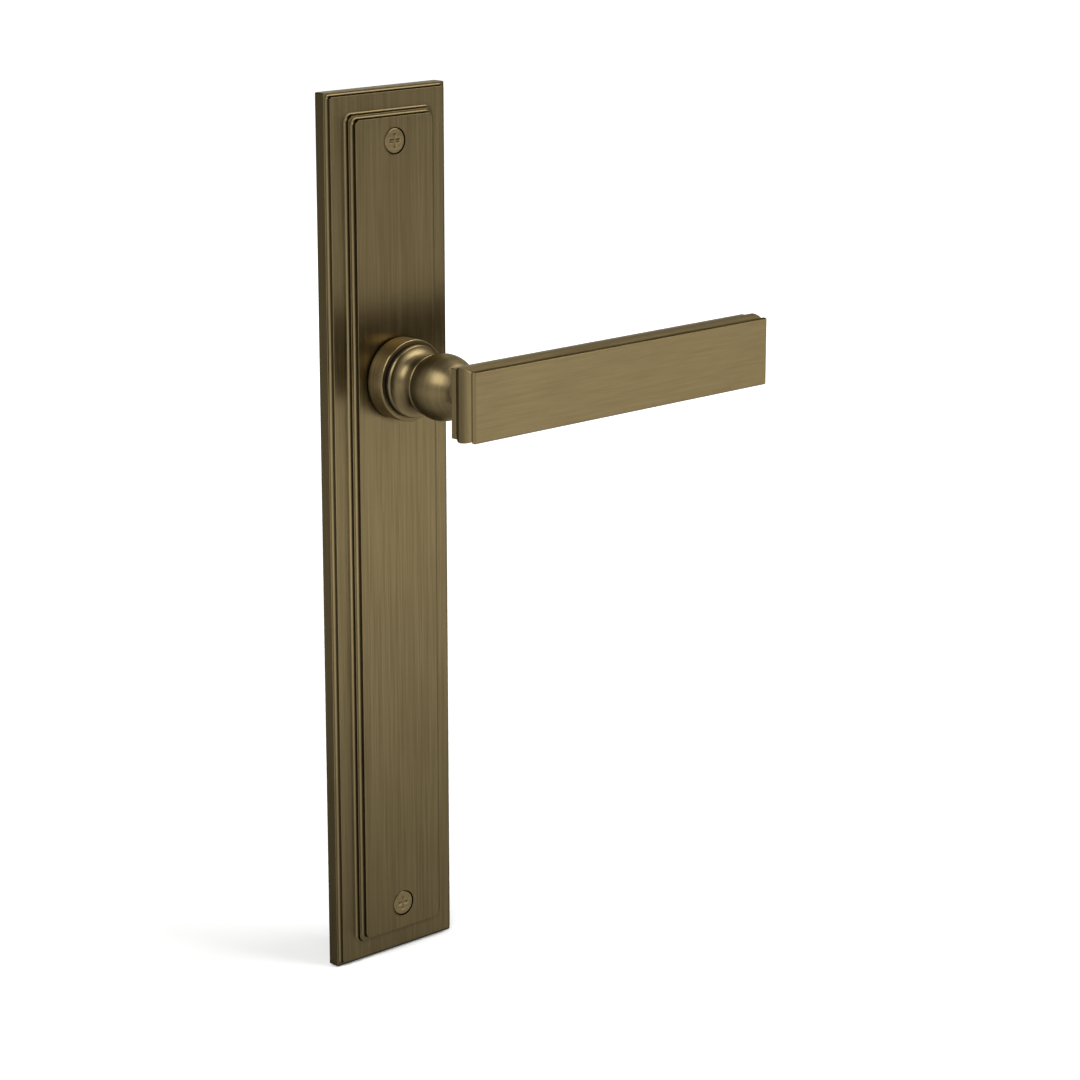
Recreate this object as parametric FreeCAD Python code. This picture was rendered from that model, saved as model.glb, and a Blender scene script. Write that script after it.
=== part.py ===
import FreeCAD, Part
import math
import os

# A lever door handle on a long stepped backplate, in millimetres.
# The origin is on the spindle axis, in the plane of the door's face. +X runs along the
# lever, +Y goes into the door and +Z is up, so the front of the handle looks along -Y.

# Backplate, outside
plate_height = 240.0
axis_below_top = 76.8          # spindle axis to the plate's top edge
base_depth = 3.3               # plain side wall of the lowest tier
border_rise = 1.28             # flat border over the lowest tier
step_rise = 1.27               # narrow step round the panel
panel_rise = 1.5               # raised panel
border_inset = 1.1
step_inset = 6.22
panel_inset = 7.33
base_corner = 0.4              # plan corner radii of the four tiers
border_corner = 0.7
step_corner = 1.9
panel_corner = 1.6
arris_round = 0.14
cove_radius = 0.85             # hollow at the foot of each tier

# Backplate, hollow back
rim_width = 2.4                # band that lies on the door
border_wall = 2.05             # metal behind the border
panel_wall = 2.0               # metal behind the panel
pocket_side_wall = 1.57        # metal beside the deep pocket
pocket_room = 0.1              # round the spring cup
pocket_corner = 2.0
rib_width = 1.6
rib_setback = 0.4              # ribs stop short of the door
rib_start = 30.0               # first rib, from the spindle axis
rib_pitch = 28.0
ribs_below = 4

# Fixing screws, 3.5 by 25 countersunk wood screws
top_screw_below_top = 13.75
bottom_screw_above_bottom = 14.35
screw_head_radius = 3.5
screw_thread_radius = 1.75
screw_shank_radius = 1.25      # plain shank; the rolled thread stands out from it
screw_thread_start = 0.3       # behind the door's face
screw_length = 25.0
screw_head_rim = 0.3
screw_point = 4.0
screw_head_sink = 0.12         # head edge below the panel's front
screw_dome = 0.12
screw_clearance = 0.08
screw_boss_radius = 5.0
cross_width = 0.75
cross_span = 4.0
cross_depth = 0.9
dome_mid_share = 0.75          # height of the dome at half the head's radius

# Collar on the plate, with its sleeve and washer
collar_rim = 1.65              # metal round the washer's seat
collar_front = 13.44           # front plane, from the door
collar_foot_round = 0.85
collar_lip_round = 0.35
spigot_wall = 1.27             # spigot is pressed through the plate
spigot_fit = 0.03
journal_radius = 7.5           # the cup, driver and collar are sized from it
running_fit = 0.03
bush_wall = 1.37
bush_fit = 0.03
bush_end_gap = 0.05
washer_overlap = 0.45          # washer reaches past the sleeve
washer_thickness = 1.0
washer_proud = 0.1             # washer stands out of the collar
washer_bore_fit = 0.1          # round the neck's journal
thrust_gap = 0.06

# Neck, turned
bead_base_radius = 9.03
bead_round = 0.75
bead_centre = 14.45
scotia_start_radius = 9.5
scotia_start = 15.4
waist_radius = 6.7
ring_centre = 20.9
ring_round = 0.45
ring_base_radius = 7.75
ball_radius = 8.97
ball_centre = 25.55
stem_radius = 5.0              # where the ball meets the stem
stem_waist_radius = 5.1
stem_foot_radius = 7.0         # flare against the grip
tail_step = 0.7                # tail is thinner than the journal
tail_flat_cut = 0.8            # depth of each flat on the tail
tail_end = 2.6                 # reach of the tail behind the door's face
tail_shoulder_gap = 0.2        # journal's end to the driver
tail_overlap = 0.5             # tail runs on inside the journal
grub_radius = 2.5
grub_length = 4.3
grub_key = 1.44                # hexagon socket, to its corners
grub_gap = 0.01                # to the spindle's flat
thread_fit = 0.05

# Spindle, 8 mm square
spindle_size = 7.94
spindle_corner = 0.6
spindle_reach = 18.5           # behind the door's face
socket_past_grub = 4.45        # socket runs on past the grub screw
socket_fit = 0.05
socket_end_gap = 0.3

# Grip, three layers with a moulding round all four sides
grip_left = -12.0
grip_right = 97.4
grip_half_height = 9.18
grip_front = 51.1              # front plane, from the door
grip_thickness = 9.3
face_thickness = 1.5
face_bevel = 0.45
face_flare = 0.2
quirk_width = 0.3              # groove behind the front plate
quirk_depth = 0.15
swell_slope = 2.9              # straight front part of the middle layer's swell
swell_flare = 0.62             # where it turns into the rounded back part
swell_bulge = 0.3              # of the rounded part, over a straight chamfer
swell_back = 0.1
back_layer = 1.8
notch_width = 0.2
notch_depth = 0.1
back_flare = 0.08
grip_screw_radius = 2.5
grip_screw_head = 4.6
grip_screw_sink = 0.1          # head below the body's front
grip_screw_hole_room = 0.15
grip_screw_engagement = 8.5    # thread in the neck
grip_screw_end_gap = 0.5
grip_screw_key = 1.73          # hexagon socket, to its corners
grip_screw_key_depth = 2.0
dowel_radius = 0.75
dowel_offset = 4.7
dowel_in_neck = 1.7
dowel_in_grip = 2.2
face_pin_radius = 1.5
face_pin_in_face = 0.8
face_pin_in_body = 2.6
face_pin_from_end = 26.0
pin_fit = 0.03

# Return spring and its cup
cup_wall = 0.5
cup_bore_fit = 0.2             # round the neck's journal
cup_chamfer = 0.4
ear_radius = 3.2
ear_gap = 1.3                  # screw boss to the cup's wall
cover_thickness = 1.0
cover_setback = 0.15           # cover stays inside the plate
cover_screw_radius = 1.25
cover_screw_head = 2.6
cover_screw_length = 5.0
cover_screw_sink = 0.05        # head inside the cover's back
cover_screw_slot = 0.7
cover_screw_slot_depth = 0.5
cover_screw_seat_room = 0.1
cover_screw_end_gap = 0.2
cover_hole = 1.6
cover_bore_fit = 0.08
boss_radius = 3.0
driver_hub_wall = 1.1          # round the neck's tail
driver_flange_setback = 0.35   # to the driver's back
driver_flange_room = 0.5       # to the cup's wall
driver_end_gap = 0.1
driver_fit = 0.03
lever_travel = 45.0
stop_pin_radius = 1.0
stop_pin_gap = 0.3             # to the curved washer
stop_pin_from_rim = 1.5        # in from the driver's edge
stop_pin_proud = 0.4           # past the cover's back
stop_fit = 0.06
strip_thickness = 0.8
strip_width = 1.8
strip_least_gap = 0.44         # between turns
strip_room = 0.1               # to the hub and the cup
strip_from_floor = 0.15
spring_hook_bend = 1.2
spring_hook_straight = 0.5
hook_room = 0.15
hook_bend_share = 0.8          # of the bend that the slots leave free

# Circlip and curved washer behind the cover
clip_thickness = 1.0
clip_groove_depth = 0.5
clip_width = 1.8
clip_gap_angle = 50.0
clip_lug_radius = 1.25
clip_lug_hole = 0.6
clip_lug_angle = 9.0           # from the gap's edge
clip_lug_inset = 0.3
clip_fit = 0.05
curved_washer_width = 1.3
curved_washer_thickness = 0.3
curved_washer_height = 0.62
curved_washer_bore_fit = 0.1   # round the neck's tail

# Sizes and places worked out from the sizes above
border_depth = base_depth + border_rise
step_depth = border_depth + step_rise
panel_depth = step_depth + panel_rise
tail_radius = journal_radius - tail_step
tail_flat = tail_radius - tail_flat_cut
clip_groove_radius = tail_radius - clip_groove_depth
clip_outer_radius = clip_groove_radius + clip_width
curved_washer_radius = tail_radius + curved_washer_width
driver_hub_radius = tail_radius + driver_hub_wall
stop_pin_orbit = curved_washer_radius + stop_pin_gap + stop_pin_radius
driver_flange_radius = stop_pin_orbit + stop_pin_from_rim
cup_inside = driver_flange_radius + driver_flange_room
cup_radius = cup_inside + cup_wall
cup_bore = journal_radius + cup_bore_fit
ear_offset = cup_radius + ear_gap + boss_radius
pocket_half = cup_radius + pocket_room
plate_width = 2 * (pocket_half + pocket_side_wall + panel_inset)
z_top = axis_below_top
z_bottom = axis_below_top - plate_height
z_top_screw = z_top - top_screw_below_top
z_bottom_screw = z_bottom + bottom_screw_above_bottom
pocket_depth = panel_depth - panel_wall
bush_radius = journal_radius + running_fit + bush_wall
collar_bore = bush_radius + bush_fit
spigot_radius = collar_bore + spigot_wall
washer_radius = bush_radius + washer_overlap
collar_radius = washer_radius + bush_fit + collar_rim
washer_back = collar_front + washer_proud - washer_thickness
neck_shoulder = collar_front + washer_proud + thrust_gap
cover_back = cover_setback
cover_front = cover_back + cover_thickness
cup_rim = cover_front + cup_wall
cup_floor = pocket_depth - cup_wall
grip_back = grip_front - grip_thickness
body_front = grip_front - face_thickness
socket_half = spindle_size / 2 + socket_fit
socket_depth = ball_centre + socket_past_grub
driver_front = cup_floor - driver_end_gap
driver_back = cover_front + driver_end_gap
tail_shoulder = driver_front + tail_shoulder_gap
strip_front = cup_floor - strip_from_floor
strip_back = strip_front - strip_width
spring_inner_radius = driver_hub_radius + strip_room + strip_thickness / 2
spring_outer_radius = cup_inside - strip_room - strip_thickness / 2
spring_room = spring_outer_radius - spring_inner_radius
spring_quarters = 2 * max(1, int(2 * spring_room / (strip_thickness + strip_least_gap)))
spring_growth = spring_room / spring_quarters
spring_end_side = 1 if spring_quarters % 4 == 0 else -1
flange_front = strip_back - strip_room
flange_back = driver_back + driver_flange_setback
stop_angle = -90.0 + lever_travel / 2
clip_front = curved_washer_height + 2 * clip_fit - cover_back
over = 1.0                     # cutters reach past the faces that they open

os.makedirs("parts", exist_ok=True)


def vec(x, y, z):
    return FreeCAD.Vector(x, y, z)


def slab(x_low, x_high, z_low, z_high, front, back, corner=0.0):
    """Rounded rectangle in plan, from the depth `front` back to the depth `back`."""
    box = Part.makeBox(x_high - x_low, front - back, z_high - z_low, vec(x_low, -front, z_low))
    if corner <= 0:
        return box
    upright = [e for e in box.Edges if e.BoundBox.YLength > 0.5 * (front - back)]
    return box.makeFillet(corner, upright)


def tier(inset, front, back, corner):
    """One tier of the plate: its outline drawn in by `inset` on all sides."""
    half = plate_width / 2 - inset
    return slab(-half, half, z_bottom + inset, z_top - inset, front, back, corner)


def rod(radius, front, back, x=0.0, z=0.0):
    """Cylinder along the spindle's direction between two depths."""
    return Part.makeCylinder(radius, front - back, vec(x, -front, z), vec(0, 1, 0))


def cone(front_radius, back_radius, front, back, x=0.0, z=0.0):
    return Part.makeCone(front_radius, back_radius, front - back, vec(x, -front, z), vec(0, 1, 0))


def turned(edges):
    """Revolve a closed outline, drawn in radius and depth, about the spindle axis."""
    face = Part.Face(Part.Wire(edges))
    return face.revolve(vec(0, 0, 0), vec(0, 1, 0), 360)


def line(a, b):
    """Straight edge between two points given as (radius, depth)."""
    return Part.LineSegment(vec(a[0], -a[1], 0), vec(b[0], -b[1], 0)).toShape()


def arc(a, mid, b):
    return Part.Arc(vec(a[0], -a[1], 0), vec(mid[0], -mid[1], 0), vec(b[0], -b[1], 0)).toShape()


def chain(points):
    return [line(a, b) for a, b in zip(points[:-1], points[1:])]


def corner_arc(centre, radius, from_angle, to_angle):
    """Arc edge about a centre in (radius, depth), with angles from the radius direction."""
    def at(angle):
        turn = math.radians(angle)
        return (centre[0] + radius * math.cos(turn), centre[1] + radius * math.sin(turn))
    return arc(at(from_angle), at((from_angle + to_angle) / 2), at(to_angle))


def double_d(radius, flat, front, back):
    """Round bar with two flats, above and below the axis."""
    bar = rod(radius, front, back)
    return bar.common(slab(-radius, radius, -flat, flat, front, back))


def fuse_all(first, others):
    return first.fuse(others).removeSplitter()


def loop_edges(shape, depth, inset, corner):
    """Edges in the plane of `depth` that follow the plate's outline drawn in by `inset`."""
    found = []
    for edge in shape.Edges:
        box = edge.BoundBox
        if abs(box.YMin + depth) > 0.001 or abs(box.YMax + depth) > 0.001:
            continue
        middle = edge.valueAt((edge.FirstParameter + edge.LastParameter) / 2)
        from_edge = min(plate_width / 2 - abs(middle.x), z_top - middle.z, middle.z - z_bottom)
        if inset - 0.001 <= from_edge <= inset + 0.35 * corner + 0.001:
            found.append(edge)
    return found


def make_backplate():
    """Four tiers with hollow feet, pocketed from behind, with ribs and screw bosses."""
    tiers = [
        (0.0, base_depth, base_corner),
        (border_inset, border_depth, border_corner),
        (step_inset, step_depth, step_corner),
        (panel_inset, panel_depth, panel_corner),
    ]
    body = tier(0.0, base_depth, 0.0, base_corner)
    for inset, depth, corner in tiers[1:]:
        body = body.fuse(tier(inset, depth, 0.0, corner))
    body = body.removeSplitter()
    for lower, upper in zip(tiers[:-1], tiers[1:]):
        body = body.makeFillet(cove_radius, loop_edges(body, lower[1], upper[0], upper[2]))
    for inset, depth, corner in tiers:
        body = body.makeFillet(arris_round, loop_edges(body, depth, inset, corner))

    shallow = tier(rim_width, border_depth - border_wall, -over, pocket_corner)
    deep = tier(plate_width / 2 - pocket_half, pocket_depth, -over, pocket_corner)
    hollow = shallow.fuse(deep)
    half = plate_width / 2
    rib_places = [rib_start] + [-rib_start - rib_pitch * i for i in range(ribs_below)]
    kept = []
    for z in rib_places:
        kept.append(slab(-half, half, z - rib_width / 2, z + rib_width / 2, panel_depth, rib_setback))
    for z in (ear_offset, -ear_offset):
        kept.append(rod(boss_radius, panel_depth, cup_rim, 0, z))
    for z in (z_top_screw, z_bottom_screw):
        kept.append(rod(screw_boss_radius, panel_depth, 0.0, 0, z))
    body = body.cut(hollow.cut(kept))

    holes = [rod(spigot_radius + spigot_fit, panel_depth + over, -over)]
    cover_hole_end = cover_back + cover_screw_length + cover_screw_end_gap
    for z in (ear_offset, -ear_offset):
        holes.append(rod(cover_screw_radius + thread_fit, cover_hole_end, 0, 0, z))
    head = screw_head_radius + screw_clearance
    shank = screw_thread_radius + screw_clearance
    seat = panel_depth - screw_head_sink - screw_head_rim - screw_clearance
    for z in (z_top_screw, z_bottom_screw):
        holes.append(rod(head, panel_depth + over, seat, 0, z))
        holes.append(cone(head, shank, seat, seat - (head - shank), 0, z))
        holes.append(rod(shank, panel_depth, -over, 0, z))
    return body.cut(holes)


def make_fixing_screw(z):
    """Wood screw with a raised countersunk head, a cross recess and a pointed end."""
    edge = panel_depth - screw_head_sink
    under = edge - screw_head_rim
    throat = under - (screw_head_radius - screw_shank_radius)
    tip = edge - screw_length
    outline = [arc((0, edge + screw_dome), (screw_head_radius / 2, edge + dome_mid_share * screw_dome),
                   (screw_head_radius, edge))]
    outline += chain([(screw_head_radius, edge), (screw_head_radius, under),
                      (screw_shank_radius, throat), (screw_shank_radius, -screw_thread_start),
                      (screw_thread_radius, -screw_thread_start), (screw_thread_radius, tip + screw_point),
                      (0, tip), (0, edge + screw_dome)])
    screw = turned(outline)
    screw.translate(vec(0, 0, z))
    front = edge + over
    floor = edge - cross_depth
    upright = slab(-cross_width / 2, cross_width / 2, z - cross_span / 2, z + cross_span / 2, front, floor)
    level = slab(-cross_span / 2, cross_span / 2, z - cross_width / 2, z + cross_width / 2, front, floor)
    return screw.cut([upright, level])


def make_collar():
    """Turned ring: spigot through the plate, rounded foot, flat rim, washer seat in front."""
    foot = collar_radius - collar_foot_round
    lip = collar_radius - collar_lip_round
    seat = washer_radius + bush_fit
    outline = chain([(collar_bore, pocket_depth), (spigot_radius, pocket_depth),
                     (spigot_radius, panel_depth)])
    if foot > spigot_radius:
        outline += chain([(spigot_radius, panel_depth), (foot, panel_depth)])
        start = (foot, panel_depth)
    else:
        start = (spigot_radius, panel_depth)
    centre = (foot, panel_depth + collar_foot_round)
    outline.append(arc(start, (centre[0] + collar_foot_round * math.sin(math.radians(45)),
                               centre[1] - collar_foot_round * math.cos(math.radians(45))),
                       (collar_radius, panel_depth + collar_foot_round)))
    outline += chain([(collar_radius, panel_depth + collar_foot_round),
                      (collar_radius, collar_front - collar_lip_round)])
    outline.append(corner_arc((lip, collar_front - collar_lip_round), collar_lip_round, 0, 90))
    outline += chain([(lip, collar_front), (seat, collar_front), (seat, washer_back),
                      (collar_bore, washer_back), (collar_bore, pocket_depth)])
    return turned(outline)


def make_bush():
    inner = journal_radius + running_fit
    front = washer_back - bush_end_gap
    back = pocket_depth + bush_end_gap
    return rod(bush_radius, front, back).cut(rod(inner, front + over, back - over))


def make_thrust_washer():
    front = washer_back + washer_thickness
    ring = rod(washer_radius, front, washer_back)
    return ring.cut(rod(journal_radius + washer_bore_fit, front + over, washer_back - over))


def make_neck():
    """Turned neck: journal, bead, hollow, thin ring, ball and flared stem, with a square socket."""
    ball_meets_ring = math.sqrt(ball_radius ** 2 - (ball_centre - ring_centre - ring_round) ** 2)
    ball_meets_stem = ball_centre + math.sqrt(ball_radius ** 2 - stem_radius ** 2)
    hollow = scotia_start_radius - waist_radius
    sweep = hollow * math.sin(math.radians(45))
    bead_back = bead_centre - bead_round
    bead_front = bead_centre + bead_round
    ring_back = ring_centre - ring_round
    ring_front = ring_centre + ring_round
    outline = chain([(0, tail_shoulder), (journal_radius, tail_shoulder), (journal_radius, neck_shoulder),
                     (bead_base_radius, neck_shoulder), (bead_base_radius, bead_back)])
    outline.append(corner_arc((bead_base_radius, bead_centre), bead_round, -90, 90))
    outline += chain([(bead_base_radius, bead_front), (scotia_start_radius, scotia_start)])
    outline.append(arc((scotia_start_radius, scotia_start),
                       (scotia_start_radius - sweep, scotia_start + hollow - sweep),
                       (waist_radius, scotia_start + hollow)))
    outline += chain([(waist_radius, scotia_start + hollow), (waist_radius, ring_back),
                      (ring_base_radius, ring_back)])
    outline.append(corner_arc((ring_base_radius, ring_centre), ring_round, -90, 90))
    outline += chain([(ring_base_radius, ring_front), (ball_meets_ring, ring_front)])
    outline.append(arc((ball_meets_ring, ring_front), (ball_radius, ball_centre),
                       (stem_radius, ball_meets_stem)))
    outline.append(arc((stem_radius, ball_meets_stem),
                       (stem_waist_radius, (ball_meets_stem + grip_back) / 2),
                       (stem_foot_radius, grip_back)))
    outline += chain([(stem_foot_radius, grip_back), (0, grip_back), (0, tail_shoulder)])
    neck = turned(outline).fuse(double_d(tail_radius, tail_flat, tail_shoulder + tail_overlap, -tail_end))

    groove_front = -clip_front + clip_fit
    groove_back = groove_front - clip_thickness - 2 * clip_fit
    groove = rod(tail_radius + over, groove_front, groove_back)
    groove = groove.cut(rod(clip_groove_radius, groove_front + over, groove_back - over))
    socket = slab(-socket_half, socket_half, -socket_half, socket_half, socket_depth, -tail_end - over)
    screw_end = grip_back - grip_screw_engagement - grip_screw_end_gap
    screw_hole = rod(grip_screw_radius + thread_fit, grip_back + over, screw_end)
    grub_hole = Part.makeCylinder(grub_radius + thread_fit, ball_radius, vec(0, -ball_centre, -ball_radius - over))
    cuts = [groove, socket, screw_hole, grub_hole]
    for x in (dowel_offset, -dowel_offset):
        cuts.append(rod(dowel_radius + pin_fit, grip_back + over, grip_back - dowel_in_neck - pin_fit, x, 0))
    return neck.cut(cuts)


def make_grub_screw():
    inner = -spindle_size / 2 - grub_gap
    outer = inner - grub_length
    screw = Part.makeCylinder(grub_radius, grub_length, vec(0, -ball_centre, outer))
    corners = []
    for i in range(7):
        turn = math.radians(60 * i)
        corners.append(vec(grub_key * math.cos(turn), -ball_centre + grub_key * math.sin(turn), outer))
    key = Part.Face(Part.makePolygon(corners)).extrude(vec(0, 0, grub_length / 2))
    return screw.cut(key)


def make_spindle():
    half = spindle_size / 2
    front = socket_depth - socket_end_gap
    bar = slab(-half, half, -half, half, front, -spindle_reach)
    edges = [e for e in bar.Edges if e.BoundBox.YLength > half]
    return bar.makeChamfer(spindle_corner, edges)


def moulded_block(outline_points, swell=None):
    """Block whose four sides carry one moulding, mitred at the corners.

    The moulding is given from front to back as (depth behind the grip's front, offset of
    the side from the face's edge). Each depth is a rectangle, so the block is what a prism
    along the grip and a prism up the grip have in common. `swell` names the stretch of the
    moulding that is an arc: the number of its first point, and the depth and offset of the
    point that it passes through.
    """
    def prism(low, high, to_vector, direction):
        low_side = [to_vector(d, low - o) for d, o in outline_points]
        high_side = [to_vector(d, high + o) for d, o in outline_points]
        edges = []
        for side, sign in ((low_side, -1), (high_side, 1)):
            for i in range(len(side) - 1):
                if swell and i == swell[0]:
                    limit = high if sign > 0 else low
                    peak = to_vector(swell[1], limit + sign * swell[2])
                    edges.append(Part.Arc(side[i], peak, side[i + 1]).toShape())
                else:
                    edges.append(Part.LineSegment(side[i], side[i + 1]).toShape())
        edges.append(Part.LineSegment(low_side[0], high_side[0]).toShape())
        edges.append(Part.LineSegment(low_side[-1], high_side[-1]).toShape())
        wire = Part.Wire(Part.__sortEdges__(edges))
        return Part.Face(wire).extrude(direction)

    length = grip_right - grip_left
    height = 2 * grip_half_height
    up_section = prism(-grip_half_height, grip_half_height,
                       lambda d, s: vec(grip_left - height, d - grip_front, s),
                       vec(length + 2 * height, 0, 0))
    along_section = prism(grip_left, grip_right,
                          lambda d, s: vec(s, d - grip_front, -height),
                          vec(0, 0, 2 * height))
    return up_section.common(along_section)


def grip_pin_places():
    return (grip_left + face_pin_from_end, grip_right - face_pin_from_end)


def make_grip_face():
    """Front plate of the grip, with a bevelled edge and two blind pin holes behind."""
    plate = moulded_block([(0, 0), (face_bevel, face_flare), (face_thickness, face_flare)])
    holes = []
    for x in grip_pin_places():
        holes.append(rod(face_pin_radius + pin_fit, body_front + face_pin_in_face + pin_fit, body_front - over, x))
    return plate.cut(holes)


def make_grip_body():
    """Swelled middle layer and thin back layer of the grip, in one casting."""
    quirk_end = face_thickness + quirk_width
    slope_end = quirk_end + swell_slope
    back_start = grip_thickness - back_layer
    swell_end = back_start - notch_width
    points = [(face_thickness, -quirk_depth), (quirk_end, -quirk_depth), (slope_end, swell_flare),
              (swell_end, swell_back), (swell_end, -notch_depth), (back_start, -notch_depth),
              (back_start, back_flare), (grip_thickness, back_flare)]
    crown = ((slope_end + swell_end) / 2, (swell_flare + swell_back) / 2 + swell_bulge)
    body = moulded_block(points, (2,) + crown)
    hole = grip_screw_radius + grip_screw_hole_room
    head = grip_screw_head + grip_screw_sink
    cuts = [rod(hole, body_front + over, grip_back - over)]
    cuts.append(cone(head, hole, body_front, body_front - (head - hole)))
    for x in grip_pin_places():
        cuts.append(rod(face_pin_radius + pin_fit, body_front + over, body_front - face_pin_in_body - pin_fit, x))
    for x in (dowel_offset, -dowel_offset):
        cuts.append(rod(dowel_radius + pin_fit, grip_back + dowel_in_grip + pin_fit, grip_back - over, x, 0))
    return body.cut(cuts)


def make_grip_screw():
    """Countersunk screw from the grip into the neck, under the front plate."""
    front = body_front - grip_screw_sink
    throat = front - (grip_screw_head - grip_screw_radius)
    back = grip_back - grip_screw_engagement
    screw = cone(grip_screw_head, grip_screw_radius, front, throat).fuse(rod(grip_screw_radius, throat, back))
    corners = []
    for i in range(7):
        turn = math.radians(60 * i)
        corners.append(vec(grip_screw_key * math.cos(turn), -front, grip_screw_key * math.sin(turn)))
    key = Part.Face(Part.makePolygon(corners)).extrude(vec(0, grip_screw_key_depth, 0))
    return screw.removeSplitter().cut(key)


def make_neck_dowels():
    front = grip_back + dowel_in_grip
    back = grip_back - dowel_in_neck
    return Part.makeCompound([rod(dowel_radius, front, back, x, 0) for x in (dowel_offset, -dowel_offset)])


def make_face_pins():
    front = body_front + face_pin_in_face
    back = body_front - face_pin_in_body
    return Part.makeCompound([rod(face_pin_radius, front, back, x) for x in grip_pin_places()])


def ear_outline(front, back):
    """Round plate with an ear above and below."""
    disc = rod(cup_radius, front, back)
    bar = slab(-ear_radius, ear_radius, -ear_offset, ear_offset, front, back)
    ears = [rod(ear_radius, front, back, 0, z) for z in (ear_offset, -ear_offset)]
    return fuse_all(disc, [bar] + ears)


def make_spring_cup():
    """Drawn steel cup with two screw ears on its rim and a notch for the spring's end."""
    shell = rod(cup_radius, pocket_depth, cup_rim - cup_wall / 2)
    front_edge = [e for e in shell.Edges if abs(e.BoundBox.YMax + pocket_depth) < 0.001]
    shell = shell.makeChamfer(cup_chamfer, front_edge)
    cup = shell.fuse(ear_outline(cup_rim, cover_front)).removeSplitter()
    cuts = [rod(cup_inside, cup_floor, cover_front - over), rod(cup_bore, pocket_depth + over, cup_floor - over)]
    cuts += [rod(cover_hole, cup_rim + over, cover_front - over, 0, z) for z in (ear_offset, -ear_offset)]
    hook_place = spring_hook_bend + spring_growth / 2
    reach = spring_outer_radius + spring_hook_bend + spring_hook_straight + hook_room
    notch = slab(-hook_place - strip_thickness / 2 - hook_room,
                 -hook_place + spring_hook_bend * hook_bend_share,
                 spring_outer_radius, reach, strip_front + hook_room, cover_front - over)
    if spring_end_side < 0:
        notch.rotate(vec(0, 0, 0), vec(0, 1, 0), 180)
    cuts.append(notch)
    return cup.cut(cuts)


def make_spring_cover():
    """Steel cover: rear bearing for the neck, and the curved slot that limits the lever."""
    cover = ear_outline(cover_front, cover_back)
    cuts = [rod(tail_radius + cover_bore_fit, cover_front + over, cover_back - over)]
    for z in (ear_offset, -ear_offset):
        cuts.append(rod(cover_hole, cover_front + over, cover_back - over, 0, z))
        cuts.append(cone(cover_hole, cover_screw_head + cover_screw_seat_room, cover_front, cover_back, 0, z))
    half = stop_pin_radius + stop_fit
    inner = rod(stop_pin_orbit - half, cover_front + over, cover_back - over)
    ring = rod(stop_pin_orbit + half, cover_front + over, cover_back - over).cut(inner)
    wedge_reach = 2 * cup_radius
    rest = math.radians(stop_angle)
    pressed = math.radians(stop_angle - lever_travel)
    wedge = Part.Face(Part.makePolygon([
        vec(0, 0, 0),
        vec(wedge_reach * math.cos(rest), 0, wedge_reach * math.sin(rest)),
        vec(wedge_reach * math.cos(pressed), 0, wedge_reach * math.sin(pressed)),
        vec(0, 0, 0)])).extrude(vec(0, 4 * cover_front, 0))
    wedge.translate(vec(0, -2 * cover_front, 0))
    cuts.append(ring.common(wedge))
    for turn in (rest, pressed):
        cuts.append(rod(half, cover_front + over, cover_back - over,
                        stop_pin_orbit * math.cos(turn), stop_pin_orbit * math.sin(turn)))
    return cover.cut(cuts)


def make_cover_screws():
    """Countersunk machine screws that hold cover and cup to the plate's bosses."""
    screws = []
    head_back = cover_back + cover_screw_sink
    half_slot = cover_screw_slot / 2
    for z in (ear_offset, -ear_offset):
        head = cone(cover_screw_radius, cover_screw_head, cover_front, head_back, 0, z)
        shank = rod(cover_screw_radius, cover_back + cover_screw_length, head_back, 0, z)
        slot = slab(-cover_screw_head, cover_screw_head, z - half_slot, z + half_slot,
                    head_back + cover_screw_slot_depth, cover_back - over)
        screws.append(head.fuse(shank).removeSplitter().cut(slot))
    return Part.makeCompound(screws)


def make_driver():
    """Hub keyed to the neck's flats, slotted for the spring, with a flange for the stop pin."""
    hub = rod(driver_hub_radius, driver_front, driver_back)
    flange = rod(driver_flange_radius, flange_front, flange_back)
    driver = hub.fuse(flange).removeSplitter()
    bore = double_d(tail_radius + driver_fit, tail_flat + driver_fit, driver_front + over, driver_back - over)
    turn = math.radians(stop_angle)
    pin_hole = rod(stop_pin_radius + pin_fit, flange_front + over, flange_back - over,
                   stop_pin_orbit * math.cos(turn), stop_pin_orbit * math.sin(turn))
    hook_place = spring_hook_bend - spring_growth / 2
    floor = spring_inner_radius - spring_hook_bend - spring_hook_straight - hook_room
    slot = slab(hook_place - spring_hook_bend * hook_bend_share, hook_place + strip_thickness / 2 + hook_room,
                floor, driver_hub_radius + over, driver_front + over, strip_back - hook_room)
    return driver.cut([bore, pin_hole, slot])


def make_stop_pin():
    turn = math.radians(stop_angle)
    return rod(stop_pin_radius, flange_front, cover_back - stop_pin_proud,
               stop_pin_orbit * math.cos(turn), stop_pin_orbit * math.sin(turn))


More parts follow.
